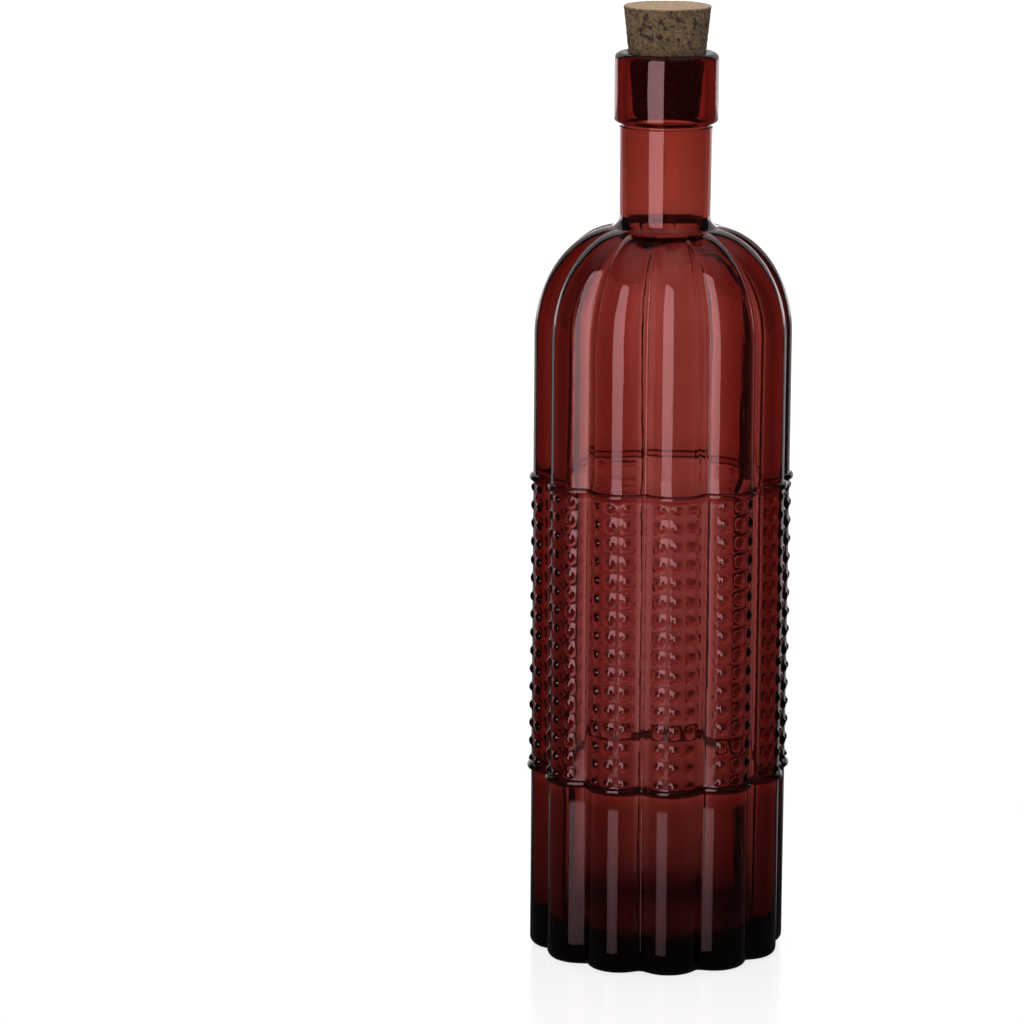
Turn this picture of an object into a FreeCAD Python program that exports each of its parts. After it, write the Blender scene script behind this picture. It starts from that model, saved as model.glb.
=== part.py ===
import FreeCAD, Part
import math
import os
import Sketcher

# A fluted glass bottle with a tapered cork, in millimetres.
# The bottle stands on the XY plane with its axis on Z, and a lobe faces -Y.
# Round lobes run up its side and over its domed shoulder. Two ridges follow them round, and
# between the ridges each lobe carries a panel of hobnail dots, set in a square grid.

LOBES = 12
DOT_COLUMNS = 3     # on each lobe
DOT_ROWS = 16       # the lowest and the highest run into the ridges
# Angles up the quarter ellipse of the shoulder, in degrees, at which the outline is repeated.
SHOULDER_ANGLES = [0, 8, 17, 27, 38, 49, 59, 68, 76, 84]

SIZES = {
    # Outside of the body
    "body_radius": 40.0,        # axis to the crest of a lobe
    "lobe_depth": 4.0,          # crest to valley
    "valley_blend": 1.0,        # radius in the bottom of a valley
    "side_height": 195.0,       # table to the start of the shoulder
    "shoulder_height": 33.4,    # rise of the shoulder
    "heel_blend": 2.5,
    # Neck and finish
    "neck_radius": 14.0,        # at the foot of the neck
    "neck_top_radius": 14.4,    # at the ring under the band
    "root_blend": 5.0,          # between the neck and the shoulder
    "root_sink": 1.2,           # how far that blend runs down into the shoulder
    "band_radius": 16.15,
    "band_height": 21.5,
    "band_foot_blend": 1.5,
    "lip_blend": 2.2,
    "bottle_height": 282.0,     # table to the lip
    "groove_radius": 0.6,       # half-round groove under the band
    "ring_height": 0.7,         # plain ring under that groove
    # Ridges
    "ridge_proud": 1.2,
    "ridge_thickness": 2.1,
    "ridge_blend": 0.9,
    "lower_ridge": 58.2,        # table to the middle of the ridge
    "upper_ridge": 150.3,
    # Hobnail dots
    "dot_radius": 1.6,          # at the foot of a dot
    "dot_proud": 0.9,
    "dot_spacing": 5.8,         # from row to row
    "column_spacing": 5.2,      # from column to column, round a lobe
    "dot_rise": 2.1,            # middle of the lower ridge to the lowest row
    # Inside
    "crest_wall": 4.2,          # glass behind a crest
    "valley_wall": 2.8,         # glass behind a valley
    "shoulder_wall": 3.4,
    "floor_thickness": 7.0,
    "floor_blend": 8.0,
    "bore_radius": 12.0,
    "bore_lip_blend": 1.2,
    "bore_root_blend": 3.0,
    "bore_root_sink": 0.8,
    "punt_radius": 27.0,        # hollow under the base
    "punt_depth": 2.5,
    # Cork
    "cork_length": 34.0,
    "cork_top_radius": 13.55,
    "cork_foot_radius": 9.95,
    "cork_edge": 0.3,
    "cork_clearance": 0.1,      # between the cork and the lip that it rests in
}

doc = FreeCAD.newDocument("bottle")
sheet = doc.addObject("Spreadsheet::Sheet", "Sizes")
for row, (alias, number) in enumerate(SIZES.items(), start=1):
    sheet.set(f"A{row}", alias)
    sheet.set(f"B{row}", str(number))
    sheet.setAlias(f"B{row}", alias)
doc.recompute()


def cells(text):
    """Turn words in curly brackets into cells of the sheet."""
    return text.replace("{", "Sizes.").replace("}", "")


def value(text):
    """Work out an expression as a plain number."""
    return float(sheet.evalExpression(cells(text)))


def bind(sketch, constraint, text):
    """Add a constraint to a sketch and bind its size to an expression."""
    index = sketch.addConstraint(constraint)
    name = f"size{index}"
    sketch.renameConstraint(index, name)
    sketch.setExpression(f"Constraints.{name}", cells(text))


def measure(sketch, constraint, name):
    """Add a named size that only reads what the sketch works out, for others to use."""
    index = sketch.addConstraint(constraint)
    sketch.setDriving(index, False)
    sketch.renameConstraint(index, name)


def origin_feature(body, role):
    return next(item for item in body.Origin.OriginFeatures if item.Role == role)


def new_sketch(name, body=None, role="XY_Plane"):
    if body is None:
        return doc.addObject("Sketcher::SketchObject", name)
    sketch = body.newObject("Sketcher::SketchObject", name)
    sketch.AttachmentSupport = [(origin_feature(body, role), "")]
    sketch.MapMode = "FlatFace"
    return sketch


def on_circle(centre, radius, angle):
    return centre + FreeCAD.Vector(radius * math.cos(angle), radius * math.sin(angle))


def arc(centre, radius, start, end):
    """Arc from start to end, counter-clockwise."""
    circle = Part.Circle(centre, FreeCAD.Vector(0, 0, 1), radius)
    return Part.ArcOfCircle(circle, start, end)


def draw_lobes(sketch, crest, valley, blend):
    """Draw a closed outline of equal round lobes, joined by small arcs in the valleys.

    The three sizes are expressions: the radii of the crests, the valleys and the small arcs.
    """
    middle = FreeCAD.Vector(0, 0, 0)
    step = 2 * math.pi / LOBES
    crest_radius = value(crest)
    blend_radius = value(blend)
    valley_ring = value(valley) + blend_radius
    reach = crest_radius + blend_radius
    lobe_ring = (reach**2 - valley_ring**2) / (2 * (reach - valley_ring * math.cos(step / 2)))
    lobe_radius = crest_radius - lobe_ring
    joint = on_circle(middle, valley_ring, step / 2) - on_circle(middle, lobe_ring, 0)
    half_arc = math.atan2(joint.y, joint.x)

    lobes = []
    valleys = []
    for number in range(LOBES):
        angle = number * step
        centre = on_circle(middle, lobe_ring, angle)
        lobe = arc(centre, lobe_radius, angle - half_arc, angle + half_arc)
        lobes.append(sketch.addGeometry(lobe))
        centre = on_circle(middle, valley_ring, angle + step / 2)
        start = angle + step - half_arc + math.pi
        valleys.append(sketch.addGeometry(arc(centre, blend_radius, start, angle + half_arc + math.pi)))
    normal = FreeCAD.Vector(0, 0, 1)
    lobe_guide = sketch.addGeometry(Part.Circle(middle, normal, lobe_ring), True)
    valley_guide = sketch.addGeometry(Part.Circle(middle, normal, valley_ring), True)
    crest_point = sketch.addGeometry(Part.Point(on_circle(middle, crest_radius, 0)), True)

    constraint = Sketcher.Constraint
    for guide in (lobe_guide, valley_guide):
        sketch.addConstraint(constraint("Coincident", guide, 3, -1, 1))
    for number in range(LOBES):
        lobe = lobes[number]
        hollow = valleys[number]
        following = lobes[(number + 1) % LOBES]
        sketch.addConstraint(constraint("Tangent", lobe, 2, hollow, 2))
        sketch.addConstraint(constraint("Tangent", hollow, 1, following, 1))
        sketch.addConstraint(constraint("PointOnObject", lobe, 3, lobe_guide))
        sketch.addConstraint(constraint("PointOnObject", hollow, 3, valley_guide))
        if number:
            sketch.addConstraint(constraint("Equal", lobes[0], lobe))
            sketch.addConstraint(constraint("Equal", valleys[0], hollow))
    sketch.addConstraint(constraint("PointOnObject", lobes[0], 3, -1))
    sketch.addConstraint(constraint("PointOnObject", crest_point, 1, lobes[0]))
    sketch.addConstraint(constraint("PointOnObject", crest_point, 1, -1))
    bind(sketch, constraint("DistanceX", -1, 1, crest_point, 1, crest_radius), crest)
    bind(sketch, constraint("Radius", valley_guide, valley_ring), f"{valley} + {blend}")
    bind(sketch, constraint("Radius", valleys[0], blend_radius), blend)
    measure(sketch, constraint("Radius", lobe_guide, lobe_ring), "lobe_ring")
    measure(sketch, constraint("Radius", lobes[0], lobe_radius), "lobe_radius")


def draw_profile(sketch, corners):
    """Draw a closed half profile beside the vertical axis.

    Each corner is a radius and a height, as expressions. A third and a fourth item, where
    present, are the radius of the arc that leads to that corner and its turn: 1 is
    counter-clockwise and -1 clockwise. All other sides are straight.
    """
    constraint = Sketcher.Constraint
    points = [FreeCAD.Vector(value(corner[0]), value(corner[1])) for corner in corners]
    sides = []
    for number, corner in enumerate(corners):
        start = points[number - 1]
        end = points[number]
        if len(corner) == 2:
            sides.append((sketch.addGeometry(Part.LineSegment(start, end)), 1, 2))
            continue
        radius = value(corner[2])
        turn = corner[3]
        chord = end - start
        height = math.sqrt(max(radius**2 - chord.Length**2 / 4, 0))
        across = FreeCAD.Vector(-chord.y, chord.x).normalize()
        centre = (start + end) / 2 + across * height * turn
        first, last = (start, end) if turn > 0 else (end, start)
        from_angle = math.atan2(first.y - centre.y, first.x - centre.x)
        to_angle = math.atan2(last.y - centre.y, last.x - centre.x)
        geometry = sketch.addGeometry(arc(centre, radius, from_angle, to_angle))
        sides.append((geometry, 1, 2) if turn > 0 else (geometry, 2, 1))
        bind(sketch, constraint("Radius", geometry, radius), corner[2])
    for number, corner in enumerate(corners):
        side, near, far = sides[number]
        following, start, end = sides[(number + 1) % len(sides)]
        sketch.addConstraint(constraint("Coincident", side, far, following, start))
        point = points[number]
        if point.x == 0:
            sketch.addConstraint(constraint("PointOnObject", side, far, -2))
        else:
            bind(sketch, constraint("DistanceX", -1, 1, side, far, point.x), corner[0])
        if point.y == 0:
            sketch.addConstraint(constraint("PointOnObject", side, far, -1))
        else:
            bind(sketch, constraint("DistanceY", -1, 1, side, far, point.y), corner[1])


def revolved_body(name, corners):
    """Body turned about Z from a half profile."""
    body = doc.addObject("PartDesign::Body", name)
    sketch = new_sketch(name + "Profile", body, "XZ_Plane")
    draw_profile(sketch, corners)
    turn = body.newObject("PartDesign::Revolution", name + "Turn")
    turn.Profile = sketch
    turn.ReferenceAxis = (sketch, ["V_Axis"])
    turn.Angle = 360
    return body


def level_edges(shape, height):
    """Numbers of the edges that lie flat at a height."""
    numbers = []
    for number, edge in enumerate(shape.Edges, start=1):
        box = edge.BoundBox
        if abs(box.ZMin - height) < 0.001 and abs(box.ZMax - height) < 0.001:
            numbers.append(number)
    return numbers


def lobed_column(name, crest, valley, foot, foot_blend, root, rise):
    """Straight lobed side with a rounded foot, and the domed shoulder on it, as two solids.

    The arguments are expressions: the outline's two radii, the height of the foot, the radius
    of its rounding, the radius that the shoulder closes in to, and the shoulder's rise.
    """
    outline = new_sketch(name + "Outline")
    draw_lobes(outline, crest, valley, "{valley_blend}")

    side = doc.addObject("Part::Extrusion", name + "Side")
    side.Base = outline
    side.DirMode = "Custom"
    side.Dir = FreeCAD.Vector(0, 0, 1)
    side.Solid = True
    side.setExpression("LengthFwd", cells(f"{{side_height}} - {foot}"))
    doc.recompute()
    rounded = doc.addObject("Part::Fillet", name + "Rounded")
    rounded.Base = side
    radius = value(foot_blend)
    rounded.Edges = [(edge, radius, radius) for edge in level_edges(side.Shape, 0)]
    rounded.setExpression("Placement.Base.z", cells(foot))

    sections = []
    for number, angle in enumerate(SHOULDER_ANGLES, start=1):
        section = doc.addObject("Part::Scale", f"{name}Level{number}")
        section.Base = outline
        section.Uniform = True
        scale = f"({root} + ({crest} - {root}) * cos({angle} deg)) / ({crest})"
        section.setExpression("UniformScale", cells(scale))
        height = f"{{side_height}} + {rise} * sin({angle} deg)"
        section.setExpression("Placement.Base.z", cells(height))
        sections.append(section)
    shoulder = doc.addObject("Part::Loft", name + "Shoulder")
    shoulder.Sections = sections
    shoulder.Solid = True
    return [rounded, shoulder]


def ridge(name, height):
    """Ring that stands proud of the lobes and follows them, as a solid disc."""
    body = doc.addObject("PartDesign::Body", name)
    sketch = new_sketch(name + "Outline", body)
    crest = "{body_radius} + {ridge_proud}"
    draw_lobes(sketch, crest, f"{crest} - {{lobe_depth}}", "{valley_blend}")
    pad = body.newObject("PartDesign::Pad", name + "Pad")
    pad.Profile = sketch
    pad.setExpression("Length", cells("{ridge_thickness}"))
    doc.recompute()
    fillet = body.newObject("PartDesign::Fillet", name + "Rounding")
    rims = level_edges(pad.Shape, 0) + level_edges(pad.Shape, value("{ridge_thickness}"))
    fillet.Base = (pad, [f"Edge{number}" for number in rims])
    fillet.setExpression("Radius", cells("{ridge_blend}"))
    body.setExpression("Placement.Base.z", cells(f"{height} - {{ridge_thickness}} / 2"))
    return body


def hobnail_dots(outline):
    """Grid of balls, sunk in the lobes of an outline as far as leaves each dot proud."""
    lobe_ring = f"({outline.Name}.Constraints.lobe_ring / 1 mm)"
    lobe_radius = f"({outline.Name}.Constraints.lobe_radius / 1 mm)"
    ball_radius = "(({dot_radius} ^ 2 + {dot_proud} ^ 2) / (2 * {dot_proud}))"
    reach = f"({lobe_radius} + {{dot_proud}} - {ball_radius})"
    turn = f"({{column_spacing}} / {lobe_radius} * 180 / pi * 1 deg)"
    side = (DOT_COLUMNS - 1) / 2

    body = doc.addObject("PartDesign::Body", "Dots")
    lobe_axis = new_sketch("LobeAxis", body)
    lobe_axis.setExpression("AttachmentOffset.Base.x", lobe_ring)
    ball = body.newObject("PartDesign::AdditiveSphere", "Dot")
    ball.setExpression("Radius", cells(ball_radius))
    ball.Placement = FreeCAD.Placement(FreeCAD.Vector(), FreeCAD.Rotation("XYZ", 0, 90, 0))
    ball.setExpression("Placement.Base.x", cells(f"{lobe_ring} + {reach} * cos({side} * {turn})"))
    ball.setExpression("Placement.Base.y", cells(f"-1 * {reach} * sin({side} * {turn})"))
    ball.setExpression("Placement.Base.z", cells("{lower_ridge} + {dot_rise}"))
    doc.recompute()

    rows = doc.addObject("PartDesign::LinearPattern", "DotRows")
    rows.Direction = (lobe_axis, ["N_Axis"])
    rows.setExpression("Length", cells(f"{{dot_spacing}} * {DOT_ROWS - 1}"))
    rows.Occurrences = DOT_ROWS
    columns = doc.addObject("PartDesign::PolarPattern", "DotColumns")
    columns.Axis = (lobe_axis, ["N_Axis"])
    columns.setExpression("Angle", cells(f"{turn} * {DOT_COLUMNS - 1}"))
    columns.Occurrences = DOT_COLUMNS
    lobes = doc.addObject("PartDesign::PolarPattern", "DotLobes")
    lobes.Axis = (origin_feature(body, "Z_Axis"), [""])
    lobes.Occurrences = LOBES
    grid = body.newObject("PartDesign::MultiTransform", "DotGrid")
    grid.Originals = [ball]
    grid.Transformations = [rows, columns, lobes]
    body.Tip = grid
    return body


def joined(name, pieces):
    fuse = doc.addObject("Part::MultiFuse", name)
    fuse.Shapes = pieces
    return fuse


def cut(name, base, tool):
    result = doc.addObject("Part::Cut", name)
    result.Base = base
    result.Tool = tool
    return result


def flared_foot(radius, blend, foot, root):
    """Corners of a neck whose foot spreads into the shoulder in a quarter round."""
    return [
        ("0", foot),
        (f"{radius} + {blend}", foot),
        (f"{radius} + {blend}", root),
        (radius, f"{root} + {blend}", blend, -1),
    ]


def neck_and_finish():
    """Neck, ring, groove and band up to the lip, solid inside."""
    band_foot = "{bottle_height} - {band_height}"
    groove_foot = f"{band_foot} - 2 * {{groove_radius}}"
    root = "{side_height} + {shoulder_height} - {root_sink}"
    corners = flared_foot("{neck_radius}", "{root_blend}", "{side_height}", root) + [
        ("{neck_top_radius}", f"{groove_foot} - {{ring_height}}"),
        ("{neck_top_radius}", groove_foot),
        ("{neck_top_radius}", band_foot, "{groove_radius}", -1),
        ("{band_radius} - {band_foot_blend}", band_foot),
        ("{band_radius}", f"{band_foot} + {{band_foot_blend}}", "{band_foot_blend}", 1),
        ("{band_radius}", "{bottle_height} - {lip_blend}"),
        ("{band_radius} - {lip_blend}", "{bottle_height}", "{lip_blend}", 1),
        ("0", "{bottle_height}"),
    ]
    return revolved_body("Neck", corners)


def bore():
    """Space inside the neck: it opens into the shoulder below and at the rounded lip above."""
    root = "{side_height} + {shoulder_height} - {shoulder_wall} - {bore_root_sink}"
    lip = "{bore_radius} + {bore_lip_blend}"
    over = "{bottle_height} + {lip_blend}"
    corners = flared_foot("{bore_radius}", "{bore_root_blend}", "{side_height}", root) + [
        ("{bore_radius}", "{bottle_height} - {bore_lip_blend}"),
        (lip, "{bottle_height}", "{bore_lip_blend}", -1),
        (lip, over),
        ("0", over),
    ]
    return revolved_body("Bore", corners)


def punt():
    """Shallow hollow under the base."""
    ball = doc.addObject("Part::Sphere", "Punt")
    radius = "({punt_radius} ^ 2 + {punt_depth} ^ 2) / (2 * {punt_depth})"
    ball.setExpression("Radius", cells(radius))
    ball.setExpression("Placement.Base.z", cells(f"{{punt_depth}} - {radius}"))
    return ball


def glass_bottle():
    """Whole glass: the outside less the inside."""
    body = lobed_column("Body", "{body_radius}", "{body_radius} - {lobe_depth}",
                        "0", "{heel_blend}", "{neck_radius}", "{shoulder_height}")
    rings = [ridge("LowerRidge", "{lower_ridge}"), ridge("UpperRidge", "{upper_ridge}")]
    dots = hobnail_dots(doc.getObject("BodyOutline"))
    outside = joined("Outside", body + [neck_and_finish(), dots] + rings)
    room = lobed_column("Room", "({body_radius} - {crest_wall})",
                        "{body_radius} - {lobe_depth} - {valley_wall}",
                        "{floor_thickness}", "{floor_blend}", "{bore_radius}",
                        "({shoulder_height} - {shoulder_wall})")
    inside = joined("Inside", room + [bore(), punt()])
    return cut("Glass", outside, inside)


def cork_stopper():
    """Tapered cork, resting in the rounded lip of the bore."""
    edge = "{cork_edge}"
    slope = "(({cork_top_radius} - {cork_foot_radius}) / {cork_length})"
    body = revolved_body("Cork", [
        ("0", "0"),
        (f"{{cork_foot_radius}} - {edge}", "0"),
        (f"{{cork_foot_radius}} + {slope} * {edge}", edge),
        (f"{{cork_top_radius}} - {slope} * {edge}", f"{{cork_length}} - {edge}"),
        (f"{{cork_top_radius}} - {edge}", "{cork_length}"),
        ("0", "{cork_length}"),
    ])
    seat = "({bottle_height} - {bore_lip_blend})"
    sunk = f"({{bore_radius}} - {{cork_clearance}} - {{cork_foot_radius}}) / {slope}"
    body.setExpression("Placement.Base.z", cells(f"{seat} - {sunk}"))
    return body


def write_nodes(nodes):
    """Check every object, then write each sub-part."""
    doc.recompute()
    for item in doc.Objects:
        if "Invalid" in item.State or "Error" in item.State:
            raise RuntimeError(f"{item.Name} didn't build: {item.State}")
    for label, item in nodes.items():
        item.Label = label
        shape = item.Shape
        if shape.isNull() or not shape.isValid() or len(shape.Solids) != 1:
            raise RuntimeError(f"{label} isn't one valid solid")
    os.makedirs("parts", exist_ok=True)
    for label, item in nodes.items():
        item.Shape.exportStep(f"parts/{label}.step")


write_nodes({"glass_bottle": glass_bottle(), "cork_stopper": cork_stopper()})
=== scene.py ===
"""Tall fluted oil bottle of red glass with a cork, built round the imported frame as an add-on."""
import math

import bpy
from mathutils import Matrix, Vector, noise


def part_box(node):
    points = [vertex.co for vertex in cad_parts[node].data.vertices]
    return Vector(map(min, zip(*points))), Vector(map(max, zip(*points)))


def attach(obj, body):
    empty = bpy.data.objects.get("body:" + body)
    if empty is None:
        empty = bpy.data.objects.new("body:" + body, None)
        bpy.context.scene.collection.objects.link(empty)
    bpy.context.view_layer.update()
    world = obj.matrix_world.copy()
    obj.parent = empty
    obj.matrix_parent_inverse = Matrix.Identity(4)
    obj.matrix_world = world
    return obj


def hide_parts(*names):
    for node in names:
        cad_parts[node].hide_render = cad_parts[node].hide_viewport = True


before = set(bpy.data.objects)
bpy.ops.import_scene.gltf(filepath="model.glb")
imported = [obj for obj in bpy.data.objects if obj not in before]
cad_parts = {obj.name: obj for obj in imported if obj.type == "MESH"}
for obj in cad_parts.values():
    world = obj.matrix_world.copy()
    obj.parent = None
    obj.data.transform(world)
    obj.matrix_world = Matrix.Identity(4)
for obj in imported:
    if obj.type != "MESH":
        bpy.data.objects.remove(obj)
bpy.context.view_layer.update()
GLASS_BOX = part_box("glass_bottle")
CORK_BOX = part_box("cork_stopper")

bl_info = {
    "name": "Fluted oil bottle",
    "version": (1, 0, 0),
    "blender": (4, 5, 0),
    "location": "View3D > Sidebar > Bottle",
    "description": "Makes a fluted glass oil bottle with a hobnail panel, its cork and a studio",
    "category": "Object",
}

MM = 0.001
FULL_TURN = 2 * math.pi

# The outside of the glass, in millimetres
LOBES = 12
BODY_RADIUS = 40.0
LOBE_DEPTH = 4.0
VALLEY_BLEND = 1.0
SIDE_HEIGHT = 195.0
SHOULDER_RISE = 33.4
SHOULDER_ROOT = 14.0
HEEL_BLEND = 2.5
PUNT_RADIUS = 27.0
PUNT_DEPTH = 2.5
PUNT_RINGS = (0.0, 4.0, 9.0, 14.0, 19.0, 23.0, 25.6)
PUNT_RIM = 1.2
PUNT_RIM_DEPTH = 0.05
RIDGE_PROUD = 1.2
RIDGE_THICKNESS = 2.1
RIDGE_BLEND = 0.9
RIDGE_FOOT_PROUD = 0.12
RIDGE_GAP = 0.25
LOWER_RIDGE = 58.2
UPPER_RIDGE = 150.3
NECK_RADIUS = 14.0
NECK_TOP_RADIUS = 14.4
ROOT_BLEND = 5.0
ROOT_FOOT = 227.2
ROOT_CREST = 16.7
ROOT_VALLEY = 16.3
ROOT_VALLEY_BLEND = 0.4
ROOT_SEAM = 228.05
GROOVE_FOOT = 259.3
GROOVE_RADIUS = 0.6
GROOVE_GAP = 0.3
BAND_FOOT = 260.5
BAND_FOOT_STEP = 0.15
BAND_FOOT_BLEND = 1.5
BAND_RADIUS = 16.15
LIP_BLEND = 2.2

# The inside of the glass, in millimetres
INNER_CREST = 35.8
INNER_VALLEY = 33.2
INNER_ROOT = 12.0
INNER_RISE = 30.0
BORE_RADIUS = 12.0
BORE_LIP_BLEND = 1.2
BORE_ROOT_BLEND = 3.0
FLOOR_HEIGHT = 7.0
FLOOR_BLEND = 8.0
FLOOR_RINGS = (20.0, 12.0, 5.0, 0.0)

# The hobnail panel, in millimetres
DOT_COLUMNS = 3
DOT_SPACING = 5.8
COLUMN_SPACING = 5.2
DOT_ROWS = 16
DOT_RISE = 2.1
DOT_PROUD = 0.9
DOT_RADIUS = 1.6
DOT_BALL = (DOT_RADIUS**2 + DOT_PROUD**2) / (2 * DOT_PROUD)
DOT_RINGS = (1.9, 1.52, 1.1, 0.6)
DOT_SEED = 7
CELL_STEPS = 3
VALLEY_STEPS = 6
DOTTED_STEPS = DOT_COLUMNS * CELL_STEPS
LOBE_STEPS = DOTTED_STEPS + VALLEY_STEPS

# Spacing of the rings in the wall: millimetres, degrees, and steps in a bend
SIDE_STEP = 5.0
SHOULDER_STEP = 4
SHOULDER_END = 80
HEEL_ANGLES = range(0, 91, 15)
RIDGE_ANGLES = (0, 22, 45, 68, 90)
FLOOR_ANGLES = range(10, 91, 10)
ROOT_TURN = 235
BORE_ROOT_TURN = 233
WIDE_BEND = 8
SMALL_BEND = 6
MERGE_DISTANCE = 0.004 * MM

# How the inside wanders: swells in each metre, and how far they stretch upwards
WAVINESS_SCALE = 34.0
WAVINESS_STRETCH = (1.0, 1.0, 0.45)

# Heights in millimetres at which the glass has its tints; the near-black tint round the lower ridge
# is painted shade
TINT_STOPS = (
    (8.0, "floor"), (46.0, "foot"), (LOWER_RIDGE - 1.5, "foot"), (LOWER_RIDGE - 1.1, "ridge"),
    (LOWER_RIDGE + 1.1, "ridge"), (LOWER_RIDGE + 1.5, "panel"), (UPPER_RIDGE - 1.5, "panel"),
    (UPPER_RIDGE + 1.5, "side"), (SIDE_HEIGHT - 10, "side"), (SIDE_HEIGHT + 20, "shoulder"),
    (ROOT_FOOT - 2, "shoulder"), (ROOT_FOOT + 4, "neck"), (GROOVE_FOOT, "neck"),
    (BAND_FOOT + 1, "band"))
NOISE_SPREAD = (0.3, 0.7)
STREAK_TINT = (0.8, 0.62, 0.6, 1.0)
STREAK_SHARE = 0.12

# The cork, in millimetres
CORK_FOOT_RADIUS = 9.95
CORK_EDGE = 0.7
CORK_DISH = 0.1
CORK_AROUND = 128
CORK_STEP = 0.55
FOOT_SHARES = (0.0, 0.2, 0.4, 0.6, 0.8)
FOOT_ANGLES = range(0, 91, 30)
TOP_ANGLES = range(90, -1, -18)
PIT_SPACING = 2.4
PIT_SHARPNESS = 2.2
WEAR_DEPTH = 0.06
WEAR_SPACING = 5.0
GRANULE_SCALE = 800.0
GRANULE_WANDER = 0.0022

# The stage, in metres and degrees: all of it is turned a little round the bottle
STAGE_SWING = -7.2
BOARD_HALF = 3.0
BOARD_DROP = 0.15 * MM
BOARD_TONES = ((0.07, 0.07, 0.075, 1.0), (0.08, 0.08, 0.08, 1.0))
BOARD_GLOW_LIMIT = 1.05
# The board glows in place of lamps; its glow grows with distance from the bottle, so it is a little
# darker round the foot: painted shade
FAR_GLOW = 0.25
# A painted shadow round the bottle on the board, which only rays through the glass see
PAINTED_SHADOW_PEAK = 1.15
PAINTED_SHADOW_POWER = 1.3
GLOSSY_UP_TO = 0.08
DULL_FROM = 0.3
SHEET_FADE = 0.12
OVERHEAD_GLOW = (0.75, 0.97)
SKYLIGHT_RISE = (0.3, 0.9)
CARD_DISTANCE = 1.15
CARD_COLOUR = (1.0, 0.93, 0.95, 1.0)
STRIP_SHARES = ((-0.36, 0.1), (-0.317, 0.2), (-0.25, 0.42), (-0.238, 0.42),
                (-0.225, 0.07), (-0.085, 0.07), (-0.068, 0.8), (0.0, 1.0))
PANEL_SHARES = ((-0.35, 0.1), (-0.2, 0.25), (0.05, 0.33), (0.08, 1.0),
                (0.25, 1.0), (0.35, 0.3), (1.2, 0.3))
CAMERA_PLACE = (0.0, -1.487, 0.4484)
CAMERA_TURNS = {"yaw": -1.788, "pitch": 11.787, "roll": 0.368}
SENSOR_WIDTH = 36.0
BLACK = (0.0, 0.0, 0.0, 1.0)
WHITE = (1.0, 1.0, 1.0, 1.0)


# ---- node trees written as formulas

class Wire:
    """A number in a node tree: sums and products of wires become math nodes."""

    def __init__(self, socket):
        self.socket = socket

    def math(self, operation, *others):
        made = self.socket.id_data.nodes.new("ShaderNodeMath")
        made.operation = operation
        for value, slot in zip((self, *others), made.inputs):
            plug(value, slot)
        return Wire(made.outputs[0])

    def __add__(self, other):
        return self.math("ADD", other)

    def __sub__(self, other):
        return self.math("SUBTRACT", other)

    def __mul__(self, other):
        return self.math("MULTIPLY", other)

    def __truediv__(self, other):
        return self.math("DIVIDE", other)

    def __rsub__(self, other):
        return self * -1 + other

    def __rtruediv__(self, other):
        return self.math("POWER", -1.0) * other

    __radd__ = __add__
    __rmul__ = __mul__


def plug(value, slot):
    """Put a wire, a socket or a plain value into a node's input."""
    if isinstance(value, Wire):
        value = value.socket
    if isinstance(value, bpy.types.NodeSocket):
        slot.id_data.links.new(value, slot)
    else:
        slot.default_value = value


def add_node(tree, kind, inputs=None, **settings):
    """Add a node, set its options, then fill its inputs by name."""
    made = tree.nodes.new(kind)
    for key, setting in settings.items():
        setattr(made, key, setting)
    for key, value in (inputs or {}).items():
        plug(value, made.inputs[key])
    return made


def add_wire(tree, kind, inputs=None, output=0, **settings):
    """Add a node as above, and give one of its outputs."""
    return Wire(add_node(tree, kind, inputs, **settings).outputs[output])


def new_tree(name, kind, inputs, outputs):
    """Make a node group; each socket is given by its first number, or by what it takes."""
    tree = bpy.data.node_groups.new(name, kind)
    for in_out, sockets in (("INPUT", inputs), ("OUTPUT", outputs)):
        for label, given in sockets.items():
            plain = isinstance(given, (int, float))
            thing = type(given).__name__.capitalize() if plain else given
            socket = tree.interface.new_socket(label, in_out=in_out,
                                               socket_type="NodeSocket" + thing)
            if plain:
                socket.default_value = given
    return tree, tree.nodes.new("NodeGroupInput"), tree.nodes.new("NodeGroupOutput")


def choose(tree, condition, chosen, otherwise):
    """One of two numbers, by a condition wire."""
    return add_wire(tree, "GeometryNodeSwitch", {
        "Switch": condition, "True": chosen, "False": otherwise}, input_type="FLOAT")


def position(tree):
    """The place of each point of a geometry."""
    return add_wire(tree, "GeometryNodeInputPosition")


def point_number(tree):
    """The number of each point of a geometry."""
    return add_wire(tree, "GeometryNodeInputIndex")


def named(tree, name):
    """The field of a stored attribute."""
    return add_wire(tree, "GeometryNodeInputNamedAttribute", {"Name": name}, data_type="FLOAT")


def with_fields(tree, geometry, fields):
    """A geometry that carries the given numbers as named attributes."""
    for name, value in fields.items():
        geometry = add_wire(tree, "GeometryNodeStoreNamedAttribute", {
            "Geometry": geometry, "Name": name, "Value": value}, data_type="FLOAT")
    return geometry


def set_modifier_inputs(modifier, values):
    """Set a Geometry Nodes modifier's inputs by their labels, through their identifiers."""
    for item in modifier.node_group.interface.items_tree:
        if item.item_type == "SOCKET" and item.in_out == "INPUT" and item.name in values:
            modifier[item.identifier] = values[item.name]


def add_object(context, name, data):
    """Put a new object into the scene, at the origin."""
    made = bpy.data.objects.new(name, data)
    context.collection.objects.link(made)
    return made


def finish_piece(piece, mesh, node):
    """Give a piece its final mesh and tie it to the frame."""
    piece.modifiers.clear()
    piece.data = mesh
    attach(piece, "root")
    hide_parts(node)


# ---- the profile of the glass

def rounding(radius, angles):
    """How far a rounded edge has come along its two sides, at each angle in degrees."""
    turns = [math.radians(angle) for angle in angles]
    return [(radius * (1 - math.cos(turn)), radius * (1 - math.sin(turn))) for turn in turns]


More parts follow.
